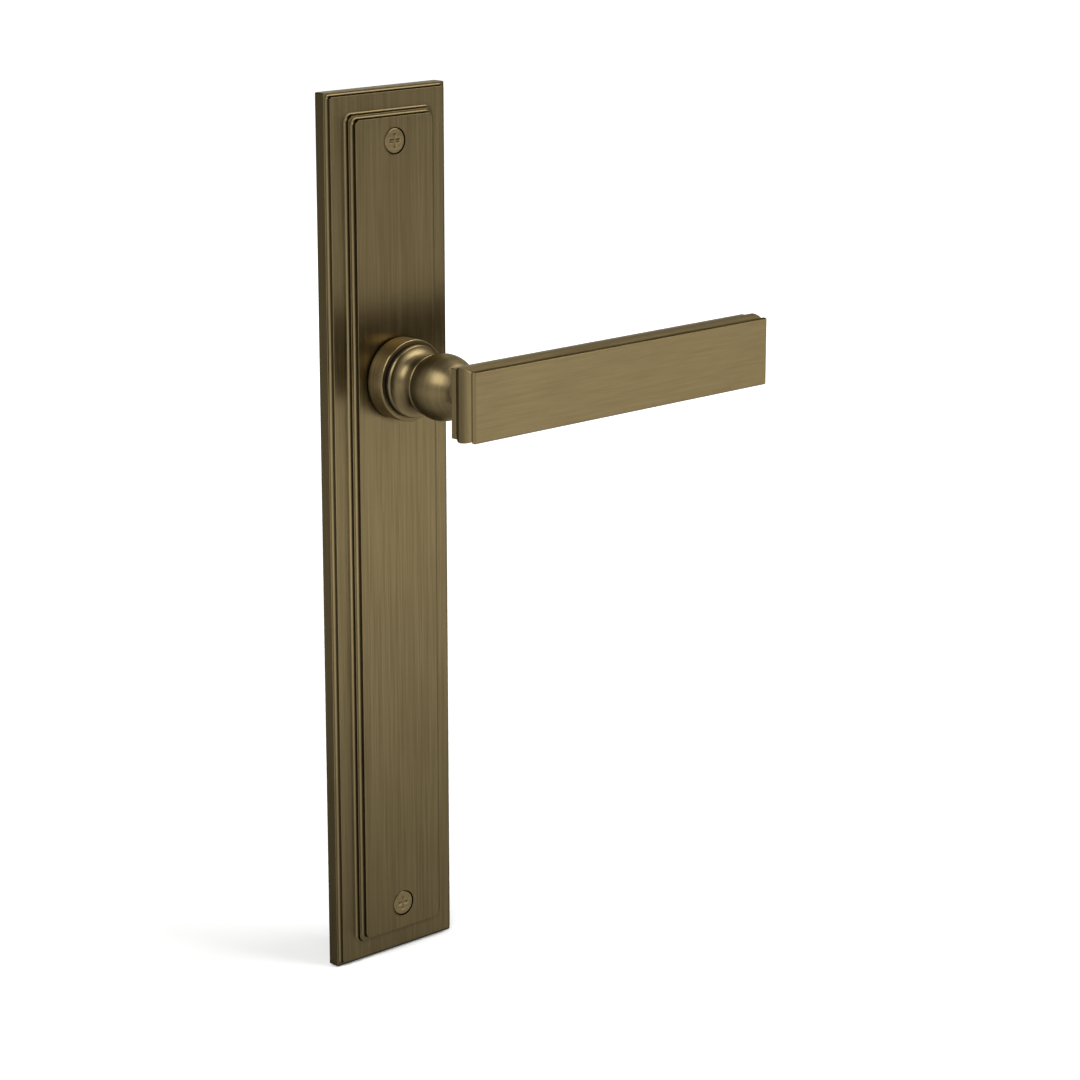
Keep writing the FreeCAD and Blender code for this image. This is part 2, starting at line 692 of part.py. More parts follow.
def make_return_spring():
    """Flat spiral of spring strip with an inner and an outer hook, as one unbroken strip.

    The spiral is a run of quarter-turn arcs. Each arc's radius is larger by a quarter of
    the pitch, and its centre moves so that it starts where the last one ended, in line.
    The centres are the corners of a small square about the spindle axis.
    """
    depth = -(strip_front + strip_back) / 2

    def out(angle):
        return vec(math.cos(math.radians(angle)), 0, math.sin(math.radians(angle)))

    angle = 90.0
    radius = spring_inner_radius + spring_growth / 2
    centre = vec(-spring_growth / 2, depth, -spring_growth / 2)
    start = centre + out(angle) * radius
    along = out(angle + 90)
    bend_centre = start - out(angle) * spring_hook_bend
    bend_start = bend_centre - along * spring_hook_bend
    bend_mid = bend_centre + (out(angle) - along) * (spring_hook_bend * math.sqrt(0.5))
    tip = bend_start - out(angle) * spring_hook_straight
    edges = [Part.LineSegment(tip, bend_start).toShape(), Part.Arc(bend_start, bend_mid, start).toShape()]
    points = []
    for quarter in range(spring_quarters):
        ends = [centre + out(angle + turn) * radius for turn in (0, 45, 90)]
        edges.append(Part.Arc(*ends).toShape())
        for turn in range(0, 90, 5):
            points.append((angle + turn, centre + out(angle + turn) * radius))
        angle += 90.0
        radius += spring_growth
        centre = ends[2] - out(angle) * radius
    end = centre + out(angle) * radius
    along = out(angle + 90)
    bend_centre = end + out(angle) * spring_hook_bend
    bend_end = bend_centre + along * spring_hook_bend
    bend_mid = bend_centre + (along - out(angle)) * (spring_hook_bend * math.sqrt(0.5))
    edges.append(Part.Arc(end, bend_mid, bend_end).toShape())
    edges.append(Part.LineSegment(bend_end, bend_end + out(angle) * spring_hook_straight).toShape())

    spacing = min([(p - q).Length for a, p in points for b, q in points if b - a > 180] or [0])
    print("spring: least gap between turns %.2f mm" % (spacing - strip_thickness))
    half = strip_thickness / 2
    section = Part.makePolygon([
        tip + vec(-half, -strip_width / 2, 0), tip + vec(half, -strip_width / 2, 0),
        tip + vec(half, strip_width / 2, 0), tip + vec(-half, strip_width / 2, 0),
        tip + vec(-half, -strip_width / 2, 0)])
    return Part.Wire(edges).makePipeShell([section], True, False)


def make_circlip():
    """Open snap ring with two eyed lugs."""
    front = -clip_front
    back = front - clip_thickness
    ring = rod(clip_outer_radius, front, back)
    lugs = []
    holes = [rod(clip_groove_radius + clip_fit, front + over, back - over)]
    lug_angle = clip_gap_angle / 2 + clip_lug_angle
    lug_orbit = clip_outer_radius - clip_lug_inset
    for side in (90 - lug_angle, 90 + lug_angle):
        turn = math.radians(side)
        x = lug_orbit * math.cos(turn)
        z = lug_orbit * math.sin(turn)
        lugs.append(rod(clip_lug_radius, front, back, x, z))
        holes.append(rod(clip_lug_hole, front + over, back - over, x, z))
    reach = 2 * clip_outer_radius
    left = math.radians(90 + clip_gap_angle / 2)
    right = math.radians(90 - clip_gap_angle / 2)
    opening = Part.Face(Part.makePolygon([
        vec(0, 0, 0), vec(reach * math.cos(left), 0, reach * math.sin(left)),
        vec(reach * math.cos(right), 0, reach * math.sin(right)), vec(0, 0, 0)]))
    opening = opening.extrude(vec(0, clip_thickness + 2 * over, 0))
    opening.translate(vec(0, -front - over, 0))
    return fuse_all(ring, lugs).cut(holes + [opening])


def make_curved_washer():
    """Washer bent to a shallow arch, which takes up the neck's end play."""
    arch = curved_washer_height - curved_washer_thickness
    bend = (curved_washer_radius ** 2 + arch ** 2) / (2 * arch)
    low = clip_fit - cover_back
    span = 4 * curved_washer_radius
    top = low + curved_washer_height
    outer = Part.makeCylinder(bend, span, vec(-span / 2, top - bend, 0), vec(1, 0, 0))
    inner = Part.makeCylinder(bend - curved_washer_thickness, 2 * span,
                              vec(-span, top - bend, 0), vec(1, 0, 0))
    ring = rod(curved_washer_radius, over, -top - over)
    ring = ring.cut(rod(tail_radius + curved_washer_bore_fit, 2 * over, -top - 2 * over))
    return ring.common(outer).cut(inner)


nodes = {
    "backplate": make_backplate(),
    "fixing_screws": Part.makeCompound([make_fixing_screw(z_top_screw), make_fixing_screw(z_bottom_screw)]),
    "collar_ring": make_collar(),
    "neck_bush": make_bush(),
    "thrust_washer": make_thrust_washer(),
    "lever_neck": make_neck(),
    "grub_screw": make_grub_screw(),
    "square_spindle": make_spindle(),
    "grip_face_plate": make_grip_face(),
    "grip_body": make_grip_body(),
    "grip_screw": make_grip_screw(),
    "neck_dowels": make_neck_dowels(),
    "face_plate_pins": make_face_pins(),
    "spring_cup": make_spring_cup(),
    "spring_cover": make_spring_cover(),
    "cover_screws": make_cover_screws(),
    "spring_driver": make_driver(),
    "stop_pin": make_stop_pin(),
    "return_spring": make_return_spring(),
    "circlip": make_circlip(),
    "curved_washer": make_curved_washer(),
}

for name, shape in nodes.items():
    shape.exportStep("parts/%s.step" % name)
    box = shape.BoundBox
    print("%-16s solids %d valid %s volume %9.2f  x %.2f..%.2f y %.2f..%.2f z %.2f..%.2f" % (
        name, len(shape.Solids), shape.isValid(), shape.Volume,
        box.XMin, box.XMax, box.YMin, box.YMax, box.ZMin, box.ZMax))
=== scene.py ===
import bpy
import math
import numpy as np
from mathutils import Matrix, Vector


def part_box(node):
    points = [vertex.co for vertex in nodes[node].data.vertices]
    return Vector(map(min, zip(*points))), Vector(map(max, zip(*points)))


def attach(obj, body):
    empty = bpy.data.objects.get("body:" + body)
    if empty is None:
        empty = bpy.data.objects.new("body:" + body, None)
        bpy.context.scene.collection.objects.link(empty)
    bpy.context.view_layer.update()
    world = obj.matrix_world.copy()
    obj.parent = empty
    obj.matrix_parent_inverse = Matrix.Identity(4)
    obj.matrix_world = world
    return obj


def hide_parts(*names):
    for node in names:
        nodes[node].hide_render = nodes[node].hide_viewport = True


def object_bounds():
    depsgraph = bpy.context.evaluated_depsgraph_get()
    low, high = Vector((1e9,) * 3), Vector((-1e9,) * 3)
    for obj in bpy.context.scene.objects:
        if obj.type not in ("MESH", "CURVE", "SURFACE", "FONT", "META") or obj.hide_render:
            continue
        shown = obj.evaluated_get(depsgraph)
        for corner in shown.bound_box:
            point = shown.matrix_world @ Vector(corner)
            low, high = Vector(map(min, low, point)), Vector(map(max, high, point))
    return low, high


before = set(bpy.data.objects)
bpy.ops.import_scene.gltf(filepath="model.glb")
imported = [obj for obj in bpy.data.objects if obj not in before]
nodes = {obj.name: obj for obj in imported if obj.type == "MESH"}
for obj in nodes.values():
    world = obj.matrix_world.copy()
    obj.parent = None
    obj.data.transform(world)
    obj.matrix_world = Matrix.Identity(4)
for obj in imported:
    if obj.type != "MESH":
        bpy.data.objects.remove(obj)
cad_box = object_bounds()

# The studio: a pale matt floor that the plate stands on, a white surround, soft lamps and
# a camera at the photograph's angle. The floor keeps the handle's shadow, and glows a
# little where the lamps no longer reach it, so that it stays white out to the horizon.

FLOOR_GAP = 0.0002
FLOOR_REACH = 14.0
FLOOR_COLOUR = (0.78, 0.78, 0.775, 1.0)
GLOW_NEAR, GLOW_FAR = (0.25, 0.14), (1.2, 0.82)
WHITE = (1.0, 1.0, 1.0, 1.0)


def add_node(tree, kind, inputs=None, **settings):
    """Add a shader node, set its properties, and link or set each named input."""
    node = tree.nodes.new(kind)
    for name, value in settings.items():
        setattr(node, name, value)
    for name, value in (inputs or {}).items():
        if isinstance(value, bpy.types.NodeSocket):
            tree.links.new(value, node.inputs[name])
        else:
            node.inputs[name].default_value = value
    return node


def number_math(tree, operation, *values):
    """Result of a Math node on numbers or sockets."""
    return add_node(tree, "ShaderNodeMath", dict(enumerate(values)), operation=operation).outputs[0]


def vector_math(tree, operation, *values):
    """Result of a Vector Math node: a number for a length or a dot product."""
    node = add_node(tree, "ShaderNodeVectorMath", dict(enumerate(values)), operation=operation)
    return node.outputs["Value" if operation in ("LENGTH", "DOT_PRODUCT") else "Vector"]


def map_range(tree, value, start, end, low=0.0, high=1.0, interpolation="LINEAR"):
    """Carry `value` from start..end over to low..high, and hold it at both ends."""
    return add_node(tree, "ShaderNodeMapRange", {
        "Value": value, "From Min": start, "From Max": end, "To Min": low, "To Max": high},
        interpolation_type=interpolation).outputs[0]


def own_place(tree):
    """Place in the piece's own axes, in metres."""
    return add_node(tree, "ShaderNodeTexCoord").outputs["Object"]


def new_material(name):
    """Material with an empty node tree, and that tree."""
    material = bpy.data.materials.new(name)
    material.use_nodes = True
    material.node_tree.nodes.clear()
    return material, material.node_tree


def seen_directly(tree):
    """1 for camera, glossy and transmission rays, which show the background, else 0."""
    path = add_node(tree, "ShaderNodeLightPath").outputs
    mirrored = number_math(tree, "MAXIMUM", path["Is Camera Ray"], path["Is Glossy Ray"])
    return number_math(tree, "MAXIMUM", mirrored, path["Is Transmission Ray"])


def floor_material():
    """Matt white that takes shadows, with a glow that grows with distance.

    GLOW_NEAR and GLOW_FAR are each a distance in metres and the glow's strength there.
    """
    material, tree = new_material("matt_white_floor")
    matt = add_node(tree, "ShaderNodeBsdfDiffuse", {"Color": FLOOR_COLOUR})
    away = vector_math(tree, "LENGTH", own_place(tree))
    unlit = map_range(tree, away, GLOW_NEAR[0], GLOW_FAR[0], GLOW_NEAR[1], GLOW_FAR[1],
                      interpolation="SMOOTHSTEP")
    lift = number_math(tree, "MULTIPLY", seen_directly(tree), unlit)
    glow = add_node(tree, "ShaderNodeEmission", {"Color": WHITE, "Strength": lift})
    both = add_node(tree, "ShaderNodeAddShader", {0: matt.outputs[0], 1: glow.outputs[0]})
    add_node(tree, "ShaderNodeOutputMaterial", {"Surface": both.outputs[0]})
    return material


floor_level = cad_box[0][2] - FLOOR_GAP
corners = np.array([[-1, -1], [1, -1], [1, 1], [-1, 1]]) * FLOOR_REACH
floor_mesh = bpy.data.meshes.new("studio_floor")
floor_mesh.from_pydata([(x, y, floor_level) for x, y in corners.tolist()], [], [(0, 1, 2, 3)])
floor = bpy.data.objects.new("studio_floor", floor_mesh)
bpy.context.scene.collection.objects.link(floor)
floor.data.materials.append(floor_material())


def build_surround():
    """White world: plain to what sees it directly, dimmer as a lamp and overhead."""
    ceiling_start, ceiling_full, ceiling_strength, lamp_strength = 0.22, 0.70, 0.30, 0.55
    world = bpy.data.worlds.new("studio_surround")
    bpy.context.scene.world = world
    world.use_nodes = True
    sky = world.node_tree
    sky.nodes.clear()
    direction = add_node(sky, "ShaderNodeTexCoord").outputs["Generated"]
    height = add_node(sky, "ShaderNodeSeparateXYZ", {0: direction}).outputs["Z"]
    ceiling = map_range(sky, height, ceiling_start, ceiling_full, 1.0, ceiling_strength,
                        interpolation="SMOOTHSTEP")
    surround = map_range(sky, seen_directly(sky), 0.0, 1.0, lamp_strength, 1.0)
    strength = number_math(sky, "MULTIPLY", ceiling, surround)
    glow = add_node(sky, "ShaderNodeBackground", {"Color": WHITE, "Strength": strength})
    add_node(sky, "ShaderNodeOutputWorld", {"Surface": glow.outputs[0]})


def softbox(name, place, target, width, height, watts):
    """Rectangular lamp at `place` that faces `target`, in metres and watts."""
    lamp = bpy.data.lights.new(name, "AREA")
    lamp.shape = "RECTANGLE"
    lamp.size = width
    lamp.size_y = height
    lamp.energy = watts
    box = bpy.data.objects.new(name, lamp)
    way = np.array(target, float) - np.array(place, float)
    flat = math.hypot(way[0], way[1])
    box.location = place
    box.rotation_euler = (math.atan2(flat, -way[2]), 0.0,
                          math.atan2(way[1], way[0]) - math.pi / 2)
    bpy.context.scene.collection.objects.link(box)


def place_camera(place, dip, turn, focal_pixels, picture_pixels=1080.0, sensor=36.0):
    """Camera that looks down by `dip` and is turned by `turn`, in metres and degrees."""
    data = bpy.data.cameras.new("studio_camera")
    camera = bpy.data.objects.new("studio_camera", data)
    camera.location = place
    camera.rotation_euler = (math.radians(90.0 - dip), 0.0, math.radians(turn))
    data.sensor_width = sensor
    data.lens = focal_pixels / picture_pixels * sensor
    data.clip_start = 0.01
    bpy.context.scene.collection.objects.link(camera)
    bpy.context.scene.camera = camera


build_surround()
softbox("key_softbox", (-0.84, -0.40, 0.78), (0, -0.02, 0), 0.90, 0.80, 15.0)
softbox("front_softbox", (0.60, -0.68, 0.72), (0, 0, 0), 0.90, 0.55, 14.0)
softbox("back_softbox", (0.45, 0.90, 0.70), (0, 0, 0), 0.80, 0.50, 4.0)
place_camera((-0.560, -0.6454, 0.1737), dip=14.445, turn=-43.830, focal_pixels=3245.5)
bpy.context.scene.view_settings.view_transform = "Standard"

# Backplate: cast brass, milled to four tiers, brushed up and down by a belt, toned to an
# olive brown and lacquered. Hollows hold the tone, and the colour also carries painted light:
# shade in hollows, on walls and on right-facing edges, highlight on coves and arrises.

# BRASS_DARK is the colour in hollows: dark tone, and painted shade.
BRASS_DARK = (0.038, 0.027, 0.011)
BRASS_MID = (0.112, 0.084, 0.040)
BRASS_BRIGHT = (0.158, 0.122, 0.061)
EDGE_TINT = (0.74, 0.69, 0.59)

# Brush lines: how many lie in a metre across the brush and, for each way of brushing,
# along it, with the octaves of the noise and its share of the tone. On turned work the
# number along the brush holds at TURNED_RADIUS, in metres.
FINE_LINES = {"across": 2100.0, "up": 42.0, "along": 90.0, "turned": 45.0,
              "octaves": 3.0, "share": 0.60}
BROAD_LINES = {"across": 1000.0, "up": 12.0, "along": 34.0, "turned": 9.0,
               "octaves": 2.0, "share": 0.28}
TURNED_RADIUS = 0.01
PATCH_SCALE, PATCH_SHARE = 38.0, 0.16
LINES_MIDDLE, LINES_SPREAD = 0.52, 0.16
LINES_DEPTH = 0.00002
HOLLOW_REACH = 0.0016
EDGE_ROUNDING = 0.0010
PLATE_FOOT, PLATE_TOP = -0.165, 0.077


def noise(tree, place, scale, octaves):
    """Value of a 3D noise that has `scale` cells in a metre."""
    return add_node(tree, "ShaderNodeTexNoise", {
        "Vector": place, "Scale": scale, "Detail": octaves}).outputs[0]


def mix_colours(tree, share, first, second):
    """First colour where `share` is 0, second colour where it is 1."""
    return add_node(tree, "ShaderNodeMix", {"Factor": share, 6: first, 7: second},
                    data_type="RGBA").outputs[2]


def scaled(colour, factor):
    """Colour times a factor, with full opacity."""
    return [channel * factor for channel in colour] + [1.0]


def own_normal(tree, normal):
    """The face's normal in the piece's own axes, so that it turns with the lever."""
    return add_node(tree, "ShaderNodeVectorTransform", {0: normal}, vector_type="NORMAL",
                    convert_from="WORLD", convert_to="OBJECT").outputs[0]


def facing(tree, normal, way):
    """How far a face looks along `way`, from -1 to 1, in the piece's own axes."""
    return vector_math(tree, "DOT_PRODUCT", own_normal(tree, normal), way)


def end_face(tree, normal):
    """1 on a face that looks along the grip, where the brush runs up and down, else 0."""
    least_facing = 0.6
    sideways = number_math(tree, "ABSOLUTE", facing(tree, normal, (1, 0, 0)))
    return number_math(tree, "GREATER_THAN", sideways, least_facing)


def brush_direction(tree, brush, place, normal):
    """World direction of the brush: up the plate, along the grip, or round the axis."""
    if brush == "turned":
        along = vector_math(tree, "CROSS_PRODUCT", (0, 1, 0), place)
    elif brush == "up":
        along = add_node(tree, "ShaderNodeCombineXYZ", {"Z": 1.0}).outputs[0]
    else:
        end = end_face(tree, normal)
        level = number_math(tree, "SUBTRACT", 1.0, end)
        along = add_node(tree, "ShaderNodeCombineXYZ", {"X": level, "Z": end}).outputs[0]
    return add_node(tree, "ShaderNodeVectorTransform", {0: along}, vector_type="VECTOR",
                    convert_from="OBJECT", convert_to="WORLD").outputs[0]


def brush_lines(tree, brush, place, normal, lines):
    """Noise drawn out along the brush, with the numbers of lines that `lines` gives.

    On turned work it is read at (place round the axis, depth, radius), so that the lines
    run round. Elsewhere the place is stretched, by one triple up the plate and on the
    grip's ends, and by another along the grip.
    """
    across, along, octaves = lines["across"], lines[brush], lines["octaves"]
    if brush == "turned":
        flat = vector_math(tree, "MULTIPLY", place, (1, 0, 1))
        radius = number_math(tree, "MULTIPLY", vector_math(tree, "LENGTH", flat), across)
        depth = vector_math(tree, "MULTIPLY", place, (0, across, 0))
        spot = vector_math(tree, "MULTIPLY_ADD", vector_math(tree, "NORMALIZE", flat),
                           (along * TURNED_RADIUS,) * 3, depth)
        return add_node(tree, "ShaderNodeTexNoise", {
            "Vector": spot, "W": radius, "Scale": 1.0, "Detail": octaves},
            noise_dimensions="4D").outputs[0]
    upright = end_face(tree, normal) if brush == "along" else 1.0
    stretch = add_node(tree, "ShaderNodeMix", {
        "Factor": upright, 4: (along, across, across), 5: (across, across, along)},
        data_type="VECTOR").outputs[1]
    return noise(tree, vector_math(tree, "MULTIPLY", place, stretch), 1.0, octaves)


def ramp(tree, value, steps):
    """Grey colour ramp read at `value`: steps has its (position, brightness) pairs."""
    node = add_node(tree, "ShaderNodeValToRGB", {"Fac": value})
    stops = node.color_ramp.elements
    for position, brightness in steps[1:-1]:
        stops.new(position).color = (brightness,) * 3 + (1.0,)
    for stop, (position, brightness) in ((stops[0], steps[0]),
                                         (stops[len(stops) - 1], steps[-1])):
        stop.position = position
        stop.color = (brightness,) * 3 + (1.0,)
    return node.outputs[0]


def tone_and_light_by_facing(tree, normal, steps):
    """Brightness by the way a face looks: tone taken off the faces that the brushing reaches,
    with painted shade on walls and painted highlight on coves and arrises.

    The ramp is read at (1 + normal . front) / 2, so a face that looks to the front reads
    the ramp's end at 1, and `steps` has the ramp's (position, brightness) pairs.
    """
    front = facing(tree, normal, (0, -1, 0))
    return ramp(tree, number_math(tree, "MULTIPLY_ADD", front, 0.5, 0.5), steps)


def brushed_colour_and_hollow_shade(tree, lines, tone, contrast):
    """Colour along the brush lines, darker where the surface lies in a hollow: dark tone held
    there, and painted shade.
    """
    closed, open_enough = 0.25, 0.95
    openness = add_node(tree, "ShaderNodeAmbientOcclusion", {"Distance": HOLLOW_REACH},
                        samples=6).outputs["AO"]
    spread = LINES_SPREAD / contrast
    shade = map_range(tree, lines, LINES_MIDDLE - spread, LINES_MIDDLE + spread)
    worn = mix_colours(tree, shade, scaled(BRASS_MID, tone), scaled(BRASS_BRIGHT, tone))
    # Hollows take BRASS_DARK: dark tone that hollows hold, and painted shade.
    clear_of_hollow = map_range(tree, openness, closed, open_enough)
    return mix_colours(tree, clear_of_hollow, scaled(BRASS_DARK, tone), worn)


def antique_brass(name, brush, tone_and_light_ramp, tone=1.0, anisotropy=0.62, gloss=0.33, up_down_light=1.0,
                  underside_shade=1.0, right_side_shade=1.0, height=None, edge_tint=1.0, contrast=1.0):
    """Toned brass with lines left by the brush and patches of tone, with painted light and shade.

    `brush` is "up", "along" or "turned", and `tone_and_light_ramp` is tone_and_light_by_facing's
    ramp of tone and painted light. `up_down_light` is how much is left of the brightness where a
    face looks half up or down,
    `underside_shade` how much on the underside, and `right_side_shade` how much on the edges and
    walls that look to the lever's side: each is painted shade below 1 and painted highlight above
    it. `height` is a ramp of painted brightness from the plate's foot to its top, `edge_tint` is
    how much of a reflection the metal gives back where it is seen at a low angle, and `contrast` is
    how strongly the brush lines show. `gloss` is the roughness, which the lines vary a little.
    """
    material, tree = new_material(name)
    place = own_place(tree)
    normal = add_node(tree, "ShaderNodeNewGeometry").outputs["Normal"]
    fine = brush_lines(tree, brush, place, normal, FINE_LINES)
    broad = brush_lines(tree, brush, place, normal, BROAD_LINES)
    lines = number_math(tree, "MULTIPLY", broad, BROAD_LINES["share"])
    lines = number_math(tree, "MULTIPLY_ADD", fine, FINE_LINES["share"], lines)
    patches = noise(tree, place, PATCH_SCALE, 3.0)
    lines = number_math(tree, "MULTIPLY_ADD", patches, PATCH_SHARE, lines)

    # Painted light and shade by the way a face looks, on top of the brushed tone.
    colour = vector_math(tree, "MULTIPLY", brushed_colour_and_hollow_shade(tree, lines, tone, contrast),
                         tone_and_light_by_facing(tree, normal, tone_and_light_ramp))
    # Painted shade or highlight on faces looking up or down, on undersides and on edges
    # looking to the lever's side. Each part: what it depends on, where it starts and is full,
    # and what it leaves.
    upward = facing(tree, normal, (0, 0, 1))
    parts = [(number_math(tree, "ABSOLUTE", upward), 0.1, 0.5, up_down_light),
             (upward, 0.1, -0.6, underside_shade)]
    # Painted shade on the edges and walls that look to the lever's side.
    if right_side_shade != 1.0:
        rounded = add_node(tree, "ShaderNodeBevel", {"Radius": EDGE_ROUNDING},
                           samples=6).outputs[0]
        parts.append((facing(tree, rounded, (1, 0, 0)), 0.05, 0.3, right_side_shade))
    for value, near, far, kept in parts:
        if kept != 1.0:
            part = map_range(tree, value, near, far, 1.0, kept)
            colour = vector_math(tree, "MULTIPLY", colour, part)
    # Painted light: a brightness ramp from the plate's foot to its top.
    if height:
        level = add_node(tree, "ShaderNodeSeparateXYZ", {0: place}).outputs["Z"]
        level = map_range(tree, level, PLATE_FOOT, PLATE_TOP)
        colour = vector_math(tree, "MULTIPLY", colour, ramp(tree, level, height))

    smooth, rough = gloss - 0.05, gloss + 0.09
    roughness = map_range(tree, lines, 0.3, 0.8, smooth, rough)
    bump = add_node(tree, "ShaderNodeBump", {
        "Strength": 0.35 * contrast, "Distance": LINES_DEPTH, "Height": fine})
    tangent = vector_math(tree, "CROSS_PRODUCT", normal,
                          brush_direction(tree, brush, place, normal))
    never_zero = (1e-5, 2e-5, 3e-5)
    brass = add_node(tree, "ShaderNodeBsdfPrincipled", {
        "Base Color": colour, "Metallic": 1.0, "Roughness": roughness,
        "Anisotropic": anisotropy, "Specular Tint": scaled(EDGE_TINT, edge_tint),
        "Tangent": vector_math(tree, "ADD", tangent, never_zero),
        "Normal": bump.outputs[0]})
    add_node(tree, "ShaderNodeOutputMaterial", {"Surface": brass.outputs[0]})
    return material


def finish_node(name, material):
    """Give a carried-over CAD node its material in every slot."""
    mesh = nodes[name].data
    if not mesh.materials:
        mesh.materials.append(material)
    for slot in range(len(mesh.materials)):
        mesh.materials[slot] = material


# The ramp paints shade on walls and highlight on coves and arrises; the height ramp paints
# brightness that peaks below the lever and falls towards the foot and the top; faces looking up or
# down and edges looking to the lever's side get painted shade.
plate_tone_and_light = [(0.0, 1.15), (0.3, 0.6), (0.51, 0.44), (0.56, 0.30), (0.74, 0.30), (0.83, 1.35),
              (0.93, 2.0), (0.975, 1.25), (0.992, 1.0), (1.0, 1.0)]
plate_height_light = [(0.0, 0.60), (0.10, 0.66), (0.23, 0.78), (0.35, 0.92), (0.48, 1.0),
                (0.58, 1.0), (0.68, 0.90), (0.80, 0.78), (1.0, 0.76)]
finish_node("backplate", antique_brass(
    "plate_brass", "up", plate_tone_and_light, up_down_light=0.42, right_side_shade=0.42, height=plate_height_light,
    contrast=1.15))

# Fixing screws: steel wood screws, 3.5 by 25, with a countersunk head, a cross recess and
# a rolled thread. They are toned like the plate, hold it to the door and sit level with it.


def shell(name, rows, ends=("pole", "pole")):
    """Closed mesh over a grid of points: rows[i, j] is point j of ring i, in millimetres.

    Each ring closes on itself, its neighbours are joined by quads, and the two end rings
    close: "pole" draws a fan to the ring's middle and "flat" lays one face over it. Each
    triangle adds a . (b x c) of its corners, and a quad counts as two triangles. The sum is
    six times the volume, and where it is negative all faces are turned round.
    """
    count, width = rows.shape[:2]
    index = np.arange(count * width).reshape(count, width)
    following = np.roll(index, -1, axis=1)
    quads = np.stack([index[:-1], index[1:], following[1:], following[:-1]], axis=-1)
    quads = quads.reshape(-1, 4)
    points = rows.reshape(-1, 3)
    faces = quads.tolist()
    first, second, third, fourth = points[quads].transpose(1, 0, 2)
    volume = np.einsum("ij,ij->", first, np.cross(second - fourth, third))
    for kind, ring in ((ends[0], index[0]), (ends[1], index[-1][::-1])):
        middle = points[ring].mean(axis=0)
        after = np.roll(ring, -1)
        volume += np.einsum("j,ij->", middle, np.cross(points[ring], points[after]))
        if kind == "flat":
            faces.append(ring.tolist())
        else:
            centre = len(points)
            points = np.vstack([points, middle])
            faces += np.stack([ring, after, np.full(width, centre)], axis=-1).tolist()
    if volume < 0:
        faces = [face[::-1] for face in faces]
    mesh = bpy.data.meshes.new(name)
    mesh.from_pydata((points * 0.001).tolist(), [], faces)
    mesh.shade_smooth()
    piece = bpy.data.objects.new(name, mesh)
    bpy.context.scene.collection.objects.link(piece)
    return piece


def thread_radius(turn, depth, start, root, crest, pitch):
    """Radius of a single-start thread at each turn angle and depth.

    The ridge stands where depth / pitch - turn / 2 pi is a whole number, and falls off in
    a straight line to both sides. It grows in over one pitch from the start.
    """
    flank = 0.2
    phase = np.abs((depth / pitch - turn / (2 * np.pi)) % 1.0 - 0.5)
    ridge = np.clip((phase - 0.5) / flank + 1.0, 0.0, 1.0)
    grown = np.clip((depth - start) / pitch, 0.0, 1.0)
    return root + (crest - root) * ridge * grown


def fixing_screw(name, height):
    """Screw as rings from the middle of its head to its point, in millimetres.

    A ring of the head lies on the dome, set back by the recess and the worn rim. The
    recess is wall_slope times as deep as a point is inside the cross, up to its full
    depth. A ring of the thread has the radius that thread_radius gives, narrowed over the
    point's length.
    """
    head_radius, edge_depth, dome = 3.5, 7.23, 0.12
    rim_radius, rim_fall, rim_depth = 3.2, 1.2, 0.4
    cross_half_width, cross_half_span, cross_depth, wall_slope = 0.55, 1.95, 0.42, 1.15
    shank, crest, root, pitch = 1.25, 1.75, 1.12, 1.6
    thread_start, tip_depth, point, point_power = 0.35, 17.77, 4.0, 0.8
    first_ring, cross_reach, flat_start, flat_end = 0.03, 2.15, 2.3, head_radius - 0.08
    tip_gap, tip_share = 0.05, 0.02
    turn_steps, cross_rings, flat_rings, thread_rings = 160, 54, 8, 190

    turn = np.linspace(0.0, 2 * np.pi, turn_steps, endpoint=False)
    head_rings = np.concatenate([np.linspace(first_ring, cross_reach, cross_rings),
                                 np.linspace(flat_start, flat_end, flat_rings)])[:, None]
    x, z = head_rings * np.cos(turn), head_rings * np.sin(turn)
    upright = np.maximum(np.abs(x) - cross_half_width, np.abs(z) - cross_half_span)
    level = np.maximum(np.abs(z) - cross_half_width, np.abs(x) - cross_half_span)
    recess = np.clip(-np.minimum(upright, level) * wall_slope, 0.0, cross_depth)
    worn_rim = np.clip((head_rings - rim_radius) * rim_fall, 0.0, rim_depth)
    y = -edge_depth - dome * (1 - (head_rings / head_radius) ** 2) + recess + worn_rim
    head = np.stack([x, y, z], axis=-1)

    side_radius = np.array([head_radius, shank, shank])
    side_depth = np.array([rim_depth, rim_depth + head_radius - shank,
                           edge_depth + thread_start]) - edge_depth
    depth = np.linspace(thread_start, tip_depth - tip_gap, thread_rings)[:, None]
    thread = thread_radius(turn, depth, thread_start, root, crest, pitch)
    thread = thread * np.clip((tip_depth - depth) / point, tip_share, 1.0) ** point_power
    radius = np.vstack([np.repeat(side_radius[:, None], turn_steps, axis=1), thread])
    y = np.repeat(np.vstack([side_depth[:, None], depth]), turn_steps, axis=1)
    body = np.stack([radius * np.cos(turn), y, radius * np.sin(turn)], axis=-1)
    piece = shell(name, np.vstack([head, body]) + np.array([0, 0, height]))
    piece.data.set_sharp_from_angle(angle=math.radians(40))
    return piece


# The screws take the plate's painted light by facing, and painted shade on faces looking up or
# down.
screw_finish = antique_brass("screw_finish", "turned", plate_tone_and_light, tone=0.94,
                             anisotropy=0.2, up_down_light=0.45)
for name, height in (("fixing_screw_top", 63.05), ("fixing_screw_bottom", -148.85)):
    screw = fixing_screw(name, height)
    screw.data.materials.append(screw_finish)
    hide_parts("fixing_screws")
    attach(screw, "plate")

# Collar and neck: turned from brass bar, polished round with a fine belt and toned. The
# collar is pressed into the plate, and the neck turns in it on a nylon sleeve and washer.

